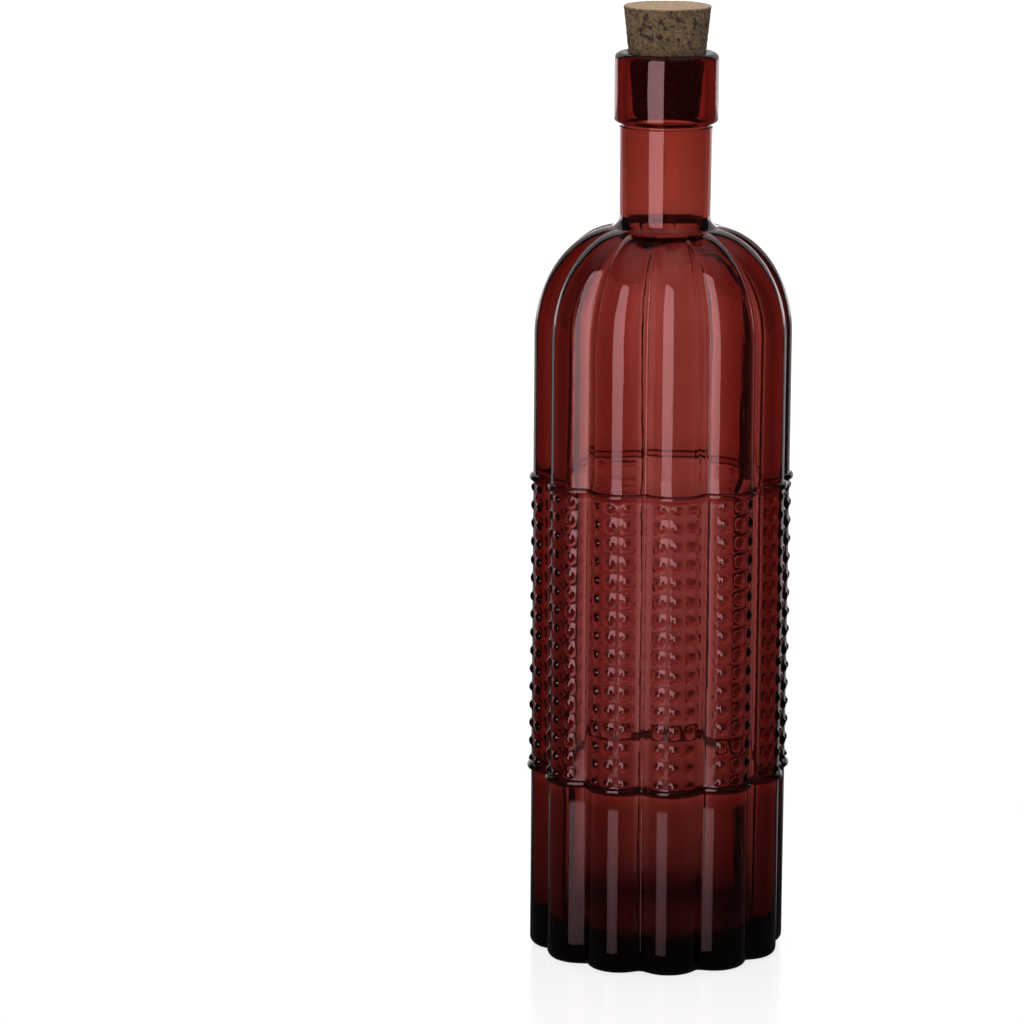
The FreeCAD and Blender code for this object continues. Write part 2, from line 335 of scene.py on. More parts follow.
def spread(start, end, step):
    """Evenly spaced values from one value to another, both included, about a step apart."""
    steps = max(1, round(abs(end - start) / step))
    return [start + (end - start) * number / steps for number in range(steps + 1)]


class Profile:
    """The rings of the glass, from the middle of its foot up the outside and down the inside."""

    def __init__(self):
        self.rings = []
        self.inside = 0.0

    def ring(self, crest, height, valley=None, blend=0.0, dotted=False):
        """A ring by the radii of its lobes and valleys; without a valley it is round."""
        valley = crest if valley is None else valley
        self.rings.append((crest, valley, height, blend, float(dotted), self.inside))

    def corner(self, radius, height, blend, start, end, steps):
        """Round rings along a rounded corner, between two angles in degrees."""
        for number in range(steps + 1):
            angle = math.radians(start + (end - start) * number / steps)
            self.ring(radius + blend * math.cos(angle), height + blend * math.sin(angle))

    def fluted(self, height, inset=0.0, dotted=False, proud=0.0):
        """A ring on the side, moved in or out along the wall's normal."""
        crest = BODY_RADIUS + proud
        valley = crest - LOBE_DEPTH
        self.ring(crest - inset, height, valley - inset, VALLEY_BLEND + inset, dotted)

    def ridge(self, centre):
        """Rings that go out over one raised ridge, with its two rounded edges."""
        half = RIDGE_THICKNESS / 2
        edges = rounding(RIDGE_BLEND, RIDGE_ANGLES)
        self.fluted(centre - half, proud=RIDGE_FOOT_PROUD)
        for rise, inset in edges:
            self.fluted(centre - half + rise, inset, proud=RIDGE_PROUD)
        for drop, inset in reversed(edges):
            self.fluted(centre + half - drop, inset, proud=RIDGE_PROUD)
        self.fluted(centre + half, proud=RIDGE_FOOT_PROUD)

    def shoulder(self, crest, valley, root, rise, angles):
        """Rings that draw in from the side's outline to the root of the neck."""
        for angle in angles:
            turn = math.radians(angle)
            scale = (root + (crest - root) * math.cos(turn)) / crest
            self.ring(crest * scale, SIDE_HEIGHT + rise * math.sin(turn), valley * scale,
                      VALLEY_BLEND * scale)


def dot_levels():
    """Heights of the rows of dot cells; the first and the last row are cut short at the ridges."""
    bottom = LOWER_RIDGE + RIDGE_THICKNESS / 2
    top = UPPER_RIDGE - RIDGE_THICKNESS / 2
    first = LOWER_RIDGE + DOT_RISE
    half = DOT_SPACING / 2
    levels = []
    for row in range(DOT_ROWS):
        centre = first + row * DOT_SPACING
        below = centre - bottom if row == 0 else half
        above = top - centre if row == DOT_ROWS - 1 else half
        levels += [centre - below, centre - below / CELL_STEPS, centre + above / CELL_STEPS]
    return levels + [top]


def foot_rings(profile):
    """The hollow under the foot, its rim and the rounded heel."""
    ball = (PUNT_RADIUS**2 + PUNT_DEPTH**2) / (2 * PUNT_DEPTH)
    for radius in PUNT_RINGS:
        profile.ring(radius, math.sqrt(ball**2 - radius**2) - ball + PUNT_DEPTH)
    profile.ring(PUNT_RADIUS, PUNT_RIM_DEPTH)
    profile.ring(PUNT_RADIUS + PUNT_RIM, 0.0)
    for height, inset in rounding(HEEL_BLEND, HEEL_ANGLES):
        profile.fluted(height, inset)


def side_rings(profile):
    """The side with its two ridges and the dotted panel, and the shoulder."""
    gap = RIDGE_THICKNESS / 2 + RIDGE_GAP
    for height in spread(HEEL_BLEND, LOWER_RIDGE - gap, SIDE_STEP)[1:]:
        profile.fluted(height)
    profile.ridge(LOWER_RIDGE)
    for height in dot_levels():
        profile.fluted(height, dotted=True)
    profile.ridge(UPPER_RIDGE)
    for height in spread(UPPER_RIDGE + gap, SIDE_HEIGHT, SIDE_STEP)[:-1]:
        profile.fluted(height)
    profile.shoulder(BODY_RADIUS, BODY_RADIUS - LOBE_DEPTH, SHOULDER_ROOT, SHOULDER_RISE,
                     range(0, SHOULDER_END + 1, SHOULDER_STEP))
    profile.ring(ROOT_CREST, ROOT_SEAM, ROOT_VALLEY, ROOT_VALLEY_BLEND)


def neck_rings(profile):
    """The neck, its groove, the band and the rounded lip."""
    foot = ROOT_FOOT + ROOT_BLEND
    profile.corner(NECK_RADIUS + ROOT_BLEND, foot, ROOT_BLEND, ROOT_TURN, 180, WIDE_BEND)
    for height in spread(foot, GROOVE_FOOT - GROOVE_GAP, SIDE_STEP)[1:]:
        part = (height - foot) / (GROOVE_FOOT - foot)
        profile.ring(NECK_RADIUS + (NECK_TOP_RADIUS - NECK_RADIUS) * part, height)
    profile.corner(NECK_TOP_RADIUS, GROOVE_FOOT + GROOVE_RADIUS, GROOVE_RADIUS, -90, -270,
                   SMALL_BEND)
    profile.ring(NECK_TOP_RADIUS + BAND_FOOT_STEP, BAND_FOOT)
    profile.corner(BAND_RADIUS - BAND_FOOT_BLEND, BAND_FOOT + BAND_FOOT_BLEND, BAND_FOOT_BLEND,
                   -90, 0, SMALL_BEND)
    top = GLASS_BOX[1].z / MM
    for height in spread(BAND_FOOT + BAND_FOOT_BLEND, top - LIP_BLEND, SIDE_STEP)[1:-1]:
        profile.ring(BAND_RADIUS, height)
    profile.corner(BAND_RADIUS - LIP_BLEND, top - LIP_BLEND, LIP_BLEND, 0, 90, WIDE_BEND)
    profile.corner(BORE_RADIUS + BORE_LIP_BLEND, top - BORE_LIP_BLEND, BORE_LIP_BLEND, 90, 180,
                   SMALL_BEND)


def inner_rings(profile):
    """The inside: bore, inner shoulder, fluted wall and rounded floor."""
    profile.inside = 1.0
    top = GLASS_BOX[1].z / MM - BORE_LIP_BLEND
    for height in spread(top, ROOT_FOOT, SIDE_STEP)[1:-1]:
        profile.ring(BORE_RADIUS, height)
    profile.corner(BORE_RADIUS + BORE_ROOT_BLEND, ROOT_FOOT, BORE_ROOT_BLEND, 180,
                   BORE_ROOT_TURN, SMALL_BEND)
    profile.shoulder(INNER_CREST, INNER_VALLEY, INNER_ROOT, INNER_RISE,
                     range(SHOULDER_END, -1, -SHOULDER_STEP))
    for height in spread(SIDE_HEIGHT, FLOOR_HEIGHT + FLOOR_BLEND, SIDE_STEP)[1:]:
        profile.ring(INNER_CREST, height, INNER_VALLEY, VALLEY_BLEND)
    for inset, rise in rounding(FLOOR_BLEND, FLOOR_ANGLES):
        profile.ring(INNER_CREST - inset, FLOOR_HEIGHT + rise, INNER_VALLEY - inset,
                     VALLEY_BLEND + inset)
    for radius in FLOOR_RINGS:
        profile.ring(radius, FLOOR_HEIGHT)


def profile_mesh():
    """The rings as loose points: x is the crest radius, y the valley radius and z the height."""
    profile = Profile()
    for add_rings in (foot_rings, side_rings, neck_rings, inner_rings):
        add_rings(profile)
    mesh = bpy.data.meshes.new("glass_profile")
    mesh.from_pydata([[size * MM for size in ring[:3]] for ring in profile.rings], [], [])
    scales = {"blend": MM, "dotted": 1.0, "inside": 1.0}
    for column, (name, scale) in enumerate(scales.items(), start=3):
        attribute = mesh.attributes.new(name, "FLOAT", "POINT")
        attribute.data.foreach_set("value", [ring[column] * scale for ring in profile.rings])
    return mesh


def ring_faces(start, rings, around):
    """Four-sided faces between closed rings of points that follow each other."""
    faces = []
    for here in range(start, start + (rings - 1) * around, around):
        above = here + around
        for number in range(around):
            following = (number + 1) % around
            faces.append((here + number, here + following, above + following, above + number))
    return faces


def dot_cell_mesh():
    """One cell of the panel with its round dot: x runs round the lobe, y up and z outwards."""
    around = 4 * CELL_STEPS
    wide, high = COLUMN_SPACING / 2, DOT_SPACING / 2
    rings = [[]]
    for number in range(around):
        side, place = divmod(number, CELL_STEPS)
        along = 1 - 2 * place / CELL_STEPS
        x, y = ((along, 1), (-1, along), (-along, -1), (1, -along))[side]
        rings[0].append((wide * x, high * y, 0.0))
    angles = [math.radians(45) + number * FULL_TURN / around for number in range(around)]
    for radius in DOT_RINGS:
        rise = 0.0
        if radius < DOT_RADIUS:
            rise = math.sqrt(DOT_BALL**2 - radius**2) - DOT_BALL + DOT_PROUD
        rings.append([(radius * math.cos(turn), radius * math.sin(turn), rise) for turn in angles])
    points = [point for ring in rings for point in ring] + [(0.0, 0.0, DOT_PROUD)]
    faces = ring_faces(0, len(rings), around)
    last, tip = len(points) - 1 - around, len(points) - 1
    faces += [(last + number, last + (number + 1) % around, tip) for number in range(around)]
    mesh = bpy.data.meshes.new("dot_cell")
    mesh.from_pydata([[size * MM for size in point] for point in points], [], faces)
    return mesh


# ---- the node trees of the glass

SIDE_SIZES = {"Crest Radius": 0.0, "Valley Radius": 0.0, "Valley Blend": 0.0}


def lobe_outline_group():
    """Group: the radius of a lobed outline, at an angle away from the nearest lobe's middle."""
    inputs = {**SIDE_SIZES, "Half Lobe": 0.0, "Angle": 0.0}
    outputs = {"Radius": 0.0, "Lobe Ring": 0.0, "Lobe Radius": 0.0, "Valley Start": 0.0}
    tree, start, end = new_tree("Lobed outline", "GeometryNodeTree", inputs, outputs)
    crest, valley, blend, half, angle = (Wire(start.outputs[label]) for label in inputs)
    reach = crest + blend
    valley_ring = valley + blend
    gap = (reach - valley_ring * half.math("COSINE")) * 2
    lobe_ring = (reach * reach - valley_ring * valley_ring) / gap
    lobe_radius = crest - lobe_ring
    rise = lobe_radius * valley_ring * half.math("SINE")
    run = lobe_ring * blend + lobe_radius * valley_ring * half.math("COSINE")
    valley_start = rise.math("ARCTAN2", run)
    aside = lobe_ring * angle.math("SINE")
    bulge = (lobe_radius * lobe_radius - aside * aside).math("SQRT")
    on_lobe = lobe_ring * angle.math("COSINE") + bulge
    turn = half - angle
    aside = valley_ring * turn.math("SINE")
    depth = (blend * blend - aside * aside).math("MAXIMUM", 0.0).math("SQRT")
    in_valley = valley_ring * turn.math("COSINE") - depth
    radius = choose(tree, angle.math("GREATER_THAN", valley_start), in_valley, on_lobe)
    for label, value in zip(outputs, (radius, lobe_ring, lobe_radius, valley_start)):
        plug(value, end.inputs[label])
    return tree


def sampled(tree, geometry, field, index, data_type="FLOAT"):
    """A value of the profile's ring with that number."""
    return add_wire(tree, "GeometryNodeSampleIndex", {
        "Geometry": geometry, "Value": field, "Index": index}, data_type=data_type, domain="POINT")


def turned_point(tree, along, aside, height, turn):
    """A place by its distances along and across a direction that is turned from the front."""
    east = along * turn.math("SINE") + aside * turn.math("COSINE")
    north = aside * turn.math("SINE") - along * turn.math("COSINE")
    return add_wire(tree, "ShaderNodeCombineXYZ", {"X": east, "Y": north, "Z": height})


def add_wall(tree, start, outline_group):
    """The wall without its dotted fields, and the sizes of the side's lobes."""
    profile = start.outputs["Profile"]
    rings = add_wire(tree, "GeometryNodeAttributeDomainSize", {"Geometry": profile},
                     "Point Count")
    lobes = Wire(start.outputs["Lobes"])
    half = math.pi / lobes
    grid = add_wire(tree, "GeometryNodeMeshGrid", {
        "Vertices X": lobes * LOBE_STEPS + 1, "Vertices Y": rings})
    index = point_number(tree)
    station = (index / rings).math("FLOOR")
    ring = index - station * rings
    lobe = (station / LOBE_STEPS).math("FLOOR")
    step = station - lobe * LOBE_STEPS

    sizes = {label: start.outputs[label] for label in SIDE_SIZES}
    side = add_node(tree, "GeometryNodeGroup", {**sizes, "Half Lobe": half},
                    node_tree=outline_group)
    lobe_ring = Wire(side.outputs["Lobe Ring"])
    lobe_radius = Wire(side.outputs["Lobe Radius"])
    cell_angle = Wire(start.outputs["Column Spacing"]) / lobe_radius
    local = (step - DOTTED_STEPS / 2) * cell_angle / CELL_STEPS
    across = lobe_radius * local.math("SINE")
    on_lobe = across.math("ARCTAN2", lobe_ring + lobe_radius * local.math("COSINE"))
    valley_half = half - Wire(side.outputs["Valley Start"])
    past = step - DOTTED_STEPS - VALLEY_STEPS / 2
    in_valley = half + past * valley_half / (VALLEY_STEPS / 2 - 1)
    azimuth = choose(tree, step.math("GREATER_THAN", DOTTED_STEPS + 0.5), in_valley, on_lobe)
    folded = half - (azimuth.math("ABSOLUTE") - half).math("ABSOLUTE")

    place = add_node(tree, "ShaderNodeSeparateXYZ", {
        0: sampled(tree, profile, position(tree), ring, "FLOAT_VECTOR")})
    blend, inside, dotted = (sampled(tree, profile, named(tree, name), ring)
                             for name in ("blend", "inside", "dotted"))
    radius = add_wire(tree, "GeometryNodeGroup", {
        "Crest Radius": place.outputs["X"], "Valley Radius": place.outputs["Y"],
        "Valley Blend": blend, "Half Lobe": half, "Angle": folded}, "Radius",
        node_tree=outline_group)
    in_panel = dotted * step.math("LESS_THAN", DOTTED_STEPS + 0.5)
    marked = with_fields(tree, grid, {"inside": inside, "in_panel": in_panel})
    there = turned_point(tree, radius, radius * 0, place.outputs["Z"], azimuth + lobe * half * 2)
    placed = add_wire(tree, "GeometryNodeSetPosition", {"Geometry": marked, "Position": there})
    whole_field = named(tree, "in_panel").math("GREATER_THAN", 0.5)
    opened = add_wire(tree, "GeometryNodeDeleteGeometry", {
        "Geometry": placed, "Selection": whole_field}, domain="FACE", mode="ALL")
    return opened, half, lobe_ring, lobe_radius, cell_angle


def add_dots(tree, start, half, lobe_ring, lobe_radius, cell_angle):
    """The cells with their dots, set out in rows and columns and bent round the lobes."""
    rows = Wire(start.outputs["Dot Rows"])
    cells = Wire(start.outputs["Lobes"]) * DOT_COLUMNS * rows
    points = add_wire(tree, "GeometryNodePoints", {"Count": cells})
    index = point_number(tree)
    stack = (index / rows).math("FLOOR")
    row = index - stack * rows
    lobe = (stack / DOT_COLUMNS).math("FLOOR")
    column = stack - lobe * DOT_COLUMNS - (DOT_COLUMNS - 1) / 2
    chance = add_node(tree, "FunctionNodeRandomValue", {
        "Min": -1.0, "Max": 1.0, "Seed": start.outputs["Seed"]}, data_type="FLOAT")
    chance = Wire(next(socket for socket in chance.outputs if socket.enabled))
    size = 1 - Wire(start.outputs["Dot Fade"]) * row / rows
    size = size - (chance * 0.5 + 0.5) * Wire(start.outputs["Dot Unevenness"])
    fields = {"row": row, "lobe": lobe, "column": column, "dot_size": size}
    marked = with_fields(tree, points, fields)
    cell = add_wire(tree, "GeometryNodeObjectInfo", {"Object": start.outputs["Dot Cell"]},
                    "Geometry")
    copies = add_wire(tree, "GeometryNodeInstanceOnPoints", {"Points": marked, "Instance": cell})
    real = add_wire(tree, "GeometryNodeRealizeInstances", {"Geometry": copies})

    row, lobe, column, size = (named(tree, name) for name in fields)
    place = add_node(tree, "ShaderNodeSeparateXYZ", {0: position(tree)})
    x, y, z = (Wire(socket) for socket in place.outputs)
    first = Wire(start.outputs["First Row"])
    spacing = Wire(start.outputs["Dot Spacing"])
    last = first + (rows - 1) * spacing
    is_first = row.math("LESS_THAN", 0.5) * y.math("LESS_THAN", 0.0)
    is_last = row.math("GREATER_THAN", rows - 1.5) * y.math("GREATER_THAN", 0.0)
    low = (first - Wire(start.outputs["Panel Bottom"])) / spacing * 2
    high = (Wire(start.outputs["Panel Top"]) - last) / spacing * 2
    squash = choose(tree, is_first, low, choose(tree, is_last, high, row * 0 + 1))
    height = first + row * spacing + y * squash
    local = column * cell_angle + x / lobe_radius
    reach = lobe_radius + z * size
    along = lobe_ring + reach * local.math("COSINE")
    there = turned_point(tree, along, reach * local.math("SINE"), height, lobe * half * 2)
    return add_wire(tree, "GeometryNodeSetPosition", {"Geometry": real, "Position": there})


def waved(tree, start, geometry):
    """The same glass, with its inside moved in and out a little by a stretched noise."""
    stretched = add_wire(tree, "ShaderNodeVectorMath", {0: position(tree), 1: WAVINESS_STRETCH},
                         operation="MULTIPLY")
    swell = add_wire(tree, "ShaderNodeTexNoise", {
        "Vector": stretched, "Scale": start.outputs["Waviness Scale"], "Detail": 1.0,
        "Roughness": 0.4})
    amount = (swell - 0.5) * 2 * Wire(start.outputs["Inner Waviness"]) * named(tree, "inside")
    normal = add_wire(tree, "GeometryNodeInputNormal")
    shift = add_wire(tree, "ShaderNodeVectorMath", {0: normal, "Scale": amount}, operation="SCALE")
    return add_wire(tree, "GeometryNodeSetPosition", {"Geometry": geometry, "Offset": shift})


def glass_tree():
    """Tree that sweeps the profile round a lobed outline and sets the dots into its panel."""
    tree, start, end = new_tree("Fluted glass", "GeometryNodeTree", {
        "Profile": "Geometry", "Lobes": LOBES, **SIDE_SIZES, "Dot Cell": "Object",
        "Dot Rows": DOT_ROWS, "Dot Spacing": DOT_SPACING * MM,
        "Column Spacing": COLUMN_SPACING * MM, "First Row": (LOWER_RIDGE + DOT_RISE) * MM,
        "Panel Bottom": (LOWER_RIDGE + RIDGE_THICKNESS / 2) * MM,
        "Panel Top": (UPPER_RIDGE - RIDGE_THICKNESS / 2) * MM, "Dot Fade": 0.0,
        "Dot Unevenness": 0.0, "Inner Waviness": 0.0, "Waviness Scale": WAVINESS_SCALE,
        "Seed": DOT_SEED, "Material": "Material"}, {"Geometry": "Geometry"})
    wall, *lobe_sizes = add_wall(tree, start, lobe_outline_group())
    dots = add_dots(tree, start, *lobe_sizes)
    joined = tree.nodes.new("GeometryNodeJoinGeometry")
    for part in (wall, dots):
        plug(part, joined.inputs[0])
    merged = add_wire(tree, "GeometryNodeMergeByDistance", {
        "Geometry": joined.outputs[0], "Distance": MERGE_DISTANCE})
    made = waved(tree, start, merged)
    for kind in ("GeometryNodeSetShadeSmooth", "GeometryNodeRealizeInstances"):
        made = add_wire(tree, kind, {"Geometry": made})
    coated = add_wire(tree, "GeometryNodeSetMaterial", {
        "Geometry": made, "Material": start.outputs["Material"]})
    plug(coated, end.inputs["Geometry"])
    return tree


# ---- materials

def unevenness_group():
    """Group: a soft mottle and a fine grain over the surface, for colour, roughness and bump."""
    tree, start, end = new_tree("Surface unevenness", "ShaderNodeTree", {
        "Vector": "Vector", "Broad Scale": 40.0, "Fine Scale": 400.0, "Fine Share": 0.3},
        {"Mottle": 0.0, "Height": 0.0})
    broad, fine = (add_wire(tree, "ShaderNodeTexNoise", {
        "Vector": start.outputs["Vector"], "Scale": start.outputs[label], "Detail": 2.0})
        for label in ("Broad Scale", "Fine Scale"))
    share = Wire(start.outputs["Fine Share"])
    plug(broad, end.inputs["Mottle"])
    plug(broad * (1 - share) + fine * share, end.inputs["Height"])
    return tree


def uneven(tree, vector, broad, fine, share):
    """The mottle and the height of the shared unevenness, built once and placed again."""
    group = bpy.data.node_groups.get("Surface unevenness") or unevenness_group()
    made = add_node(tree, "ShaderNodeGroup", {
        "Vector": vector, "Broad Scale": broad, "Fine Scale": fine, "Fine Share": share},
        node_tree=group)
    return made.outputs["Mottle"], made.outputs["Height"]


def new_material(name):
    """A material with a Principled shader, and its Object coordinates."""
    material = bpy.data.materials.new(name)
    material.use_nodes = True
    tree = material.node_tree
    shader = tree.nodes["Principled BSDF"]
    where = tree.nodes.new("ShaderNodeTexCoord").outputs["Object"]
    return material, tree, shader, where


def set_inputs(shader, values):
    """Set a shader's own sockets by name."""
    for label, value in values.items():
        plug(value, shader.inputs[label])


def upward(tree, vector):
    """The vertical part of a vector."""
    return add_wire(tree, "ShaderNodeSeparateXYZ", {0: vector}, "Z")


def mapped(tree, value, low, high, to_low, to_high):
    """A wire taken from one range to another, and kept inside it."""
    return add_wire(tree, "ShaderNodeMapRange", {
        "Value": value, "From Min": low, "From Max": high, "To Min": to_low, "To Max": to_high})


def noised(tree, value, to_low, to_high):
    """The usual spread of a noise, taken to another range."""
    return mapped(tree, value, *NOISE_SPREAD, to_low, to_high)


def mixed_colour(tree, factor, first, second):
    """Two colours mixed by a factor."""
    return add_wire(tree, "ShaderNodeMix", {0: factor, 6: first, 7: second}, 2, data_type="RGBA")


def bumped(tree, height, strength, distance):
    """The normal of a surface raised by a height."""
    return add_wire(tree, "ShaderNodeBump", {
        "Height": height, "Strength": strength, "Distance": distance})


def banded(tree, value, stops):
    """A colour that runs through the given stops, each a level and its colour, lowest first."""
    low, high = stops[0][0], stops[-1][0]
    ramp = tree.nodes.new("ShaderNodeValToRGB")
    plug((value - low) / (high - low), ramp.inputs["Fac"])
    for count in range(len(stops) - 2):
        ramp.color_ramp.elements.new((count + 1) / (len(stops) - 1))
    for element, (level, shade) in zip(ramp.color_ramp.elements, stops):
        element.position = (level - low) / (high - low)
        element.color = (*shade, 1.0)
    return Wire(ramp.outputs["Color"])


def red_glass(settings):
    """Clear red glass: its depth of colour comes from the light lost inside it and from tints by
    height, of which the near-black one on the lower ridge is painted shade.
    """
    material, tree, shader, where = new_material("red_glass")
    long_marks = add_wire(tree, "ShaderNodeMapping", {"Vector": where, "Scale": (1.0, 1.0, 0.22)})
    mottle, height = uneven(tree, long_marks, broad=55.0, fine=260.0, share=0.25)
    # Tints by height; the near-black tint on the lower ridge is painted shade
    tint = banded(tree, upward(tree, where) / MM,
                  [(level, getattr(settings, f"{part}_tint")) for level, part in TINT_STOPS])
    streaks = noised(tree, mottle, 0.0, STREAK_SHARE)
    set_inputs(shader, {
        "Base Color": mixed_colour(tree, streaks, tint, STREAK_TINT),
        "Roughness": noised(tree, mottle, 0.0, 0.035),
        "Normal": bumped(tree, height, strength=0.35, distance=0.35 * MM),
        "Transmission Weight": 1.0,
        "IOR": settings.refraction,
        "Specular Tint": (*settings.gloss, 1.0)})
    inside = add_wire(tree, "ShaderNodeVolumeAbsorption", {
        "Color": (*settings.colour, 1.0), "Density": settings.colour_depth})
    plug(inside, tree.nodes["Material Output"].inputs["Volume"])
    return material


def pressed_cork(settings):
    """Cork pressed from granules, with dark bark specks between them, and its top and rounded top
    edge painted paler: a painted highlight where light falls from above.
    """
    material, tree, shader, where = new_material("pressed_cork")
    light, dark, bark, cut_face = (
        (*getattr(settings, name), 1.0) for name in ("light", "dark", "bark", "cut_face"))
    wander = add_wire(tree, "ShaderNodeTexNoise", {
        "Vector": where, "Scale": 900.0, "Detail": 2.0}, "Color")
    warped = add_wire(tree, "ShaderNodeVectorMath", {
        0: wander, 1: (GRANULE_WANDER,) * 3, 2: where}, operation="MULTIPLY_ADD")
    granules = {"Vector": warped, "Scale": GRANULE_SCALE}
    to_edge = add_wire(tree, "ShaderNodeTexVoronoi", granules, "Distance",
                       feature="DISTANCE_TO_EDGE")
    cells = add_wire(tree, "ShaderNodeTexVoronoi", granules, "Color")
    shade = add_wire(tree, "ShaderNodeSeparateColor", {"Color": cells})
    mottle, height = uneven(tree, where, broad=520.0, fine=2200.0, share=0.4)
    cloudy = mapped(tree, height, 0.36, 0.64, 0.0, 0.6) + shade * 0.4
    body = mixed_colour(tree, cloudy, dark, light)
    specked = mixed_colour(tree, mapped(tree, mottle, 0.52, 0.64, 0.0, 1.0), body, bark)
    grained = mixed_colour(tree, mapped(tree, to_edge, 0.0, 0.07, 0.5, 0.0), specked, bark)
    top = CORK_BOX[1].z
    # Painted highlight: the top and its rounded edge are mixed towards a paler colour, as if lit
    # from above
    cut = mapped(tree, upward(tree, where), top - settings.edge, top - 0.15 * MM, 0.0, 0.42)
    relief = mapped(tree, to_edge, 0.0, 0.12, 0.0, 1.0) + height
    set_inputs(shader, {
        "Base Color": mixed_colour(tree, cut, grained, cut_face),
        "Roughness": noised(tree, height, 0.72, 0.95),
        "Specular IOR Level": 0.15,
        "Normal": bumped(tree, relief, strength=0.6, distance=0.25 * MM)})
    return material


def towards_sheet(tree, direction):
    """How far a vector reaches towards the white sheet, which stands behind the bottle."""
    turn = math.radians(STAGE_SWING)
    return add_wire(tree, "ShaderNodeVectorMath", {
        0: direction, 1: (-math.sin(turn), math.cos(turn), 0.0)}, "Value",
        operation="DOT_PRODUCT")


def sheet_light(tree, cosine, settings, brightness):
    """The sheet's brightness in the directions that it covers, and the dim room's elsewhere."""
    return mapped(tree, cosine, settings.flag_edge - SHEET_FADE, settings.flag_edge + SHEET_FADE,
                  settings.front_shade, brightness)


def white_board(settings):
    """The white board that the bottle stands on, with a faint gloss close to it: it glows to look
    overlit, with painted shade round the foot, and through the glass it shows a painted shadow
    round the bottle and painted shade in front.
    """
    material, tree, shader, where = new_material("white_board")
    mottle, _ = uneven(tree, where, broad=6.0, fine=60.0, share=0.3)
    through = add_wire(tree, "ShaderNodeLightPath", output="Is Transmission Ray")
    far = add_wire(tree, "ShaderNodeVectorMath", {0: where}, "Value", operation="LENGTH")
    # Painted shadow: seen through the glass, the board glows less close to the bottle, and less in
    # front, where the room is dim
    painted_shadow = PAINTED_SHADOW_PEAK / ((settings.pool_radius / far).math("POWER", PAINTED_SHADOW_POWER) + 1)
    sheet = sheet_light(tree, towards_sheet(tree, where) / far, settings, 1.0)
    dimming = 1 + through * (painted_shadow.math("MINIMUM", 1.0) * sheet - 1)
    # Painted shade round the foot: the glow grows with distance from the bottle, up to a limit
    glow = (far * FAR_GLOW + settings.board_light).math("MINIMUM", BOARD_GLOW_LIMIT)
    dulling = mapped(tree, far, GLOSSY_UP_TO, DULL_FROM, 0.12, 1.0)
    set_inputs(shader, {
        "Base Color": mixed_colour(tree, mottle, *BOARD_TONES),
        "Roughness": dulling + noised(tree, mottle, 0.0, 0.05),
        "Emission Color": (1.0, 0.99, 1.0, 1.0),
        "Emission Strength": dimming * glow,
        "Specular IOR Level": 0.25})
    return material


# ---- settings a user would change

def length(name, description, default):
    """A length in metres, from one in millimetres."""
    return bpy.props.FloatProperty(name=name, description=description, default=default * MM,
                                   unit="LENGTH", precision=4)


def factor(name, description, default, top=1.0):
    """A plain number from nought up to a limit."""
    return bpy.props.FloatProperty(name=name, description=description, default=default,
                                   min=0.0, max=top)


def colour(name, description, *default):
    """A colour, from its red, green and blue."""
    return bpy.props.FloatVectorProperty(name=name, description=description, default=default,
                                         size=3, subtype="COLOR", min=0.0, max=1.0)


class GlassSettings(bpy.types.PropertyGroup):
    """Sizes and colours of the glass"""

    crest_radius: length("Crest radius", "Radius of the side on the lobes", BODY_RADIUS)
    valley_radius: length("Valley radius", "Radius between the lobes", BODY_RADIUS - LOBE_DEPTH)
    valley_blend: length("Valley blend", "Rounding in the bottom of a valley", VALLEY_BLEND)
    dot_fade: factor("Dot fade", "How much flatter the top row is than the bottom one", 0.2)
    dot_unevenness: factor("Dot unevenness", "How much the dots differ in height", 0.14)
    waviness: length("Inner waviness", "How far the inside wanders from its true shape", 0.35)
    colour: colour("Glass colour", "Colour that the glass lets through", 0.64, 0.17, 0.12)
    colour_depth: factor("Colour depth", "Light taken up in each metre of glass", 575.0, 5000.0)
    refraction: factor("Refraction", "Refractive index of the glass", 1.5, 3.0)
    gloss: colour("Gloss", "Tint of what the glass mirrors", 1.0, 0.6, 0.62)
    floor_tint: colour("Floor tint", "Tint of the thick glass round the floor", 0.43, 0.37, 0.35)
    foot_tint: colour("Foot tint", "Tint of the side under the lower ridge", 0.86, 0.75, 0.72)
    # The lower ridge's near-black tint is painted shade
    ridge_tint: colour("Ridge tint", "Tint of the lower ridge", 0.12, 0.08, 0.08)
    panel_tint: colour("Panel tint", "Tint of the dotted panel", 0.95, 0.96, 1.0)
    side_tint: colour("Side tint", "Tint of the side over the panel", 0.88, 0.78, 0.74)
    shoulder_tint: colour("Shoulder tint", "Tint of the shoulder", 1.0, 1.0, 1.0)
    neck_tint: colour("Neck tint", "Tint of the neck", 0.72, 0.46, 0.38)
    band_tint: colour("Band tint", "Tint of the band round the mouth", 1.0, 0.8, 0.76)


class CorkSettings(bpy.types.PropertyGroup):
    """Sizes and colours of the cork"""

    edge: length("Edge rounding", "Rounding of the worn edges", CORK_EDGE)
    pit_depth: length("Pit depth", "Depth of the gaps between the granules", 0.22)
    light: colour("Light granules", "Colour of the palest granules", 0.135, 0.087, 0.046)
    dark: colour("Dark granules", "Colour of the darkest granules", 0.026, 0.017, 0.009)
    # Paler colour of the top and its edge: a painted highlight from above
    cut_face: colour("Cut face", "Colour of the paler cut on top", 0.42, 0.31, 0.2)
    bark: colour("Bark", "Colour of the bark specks and gaps", 0.018, 0.012, 0.009)


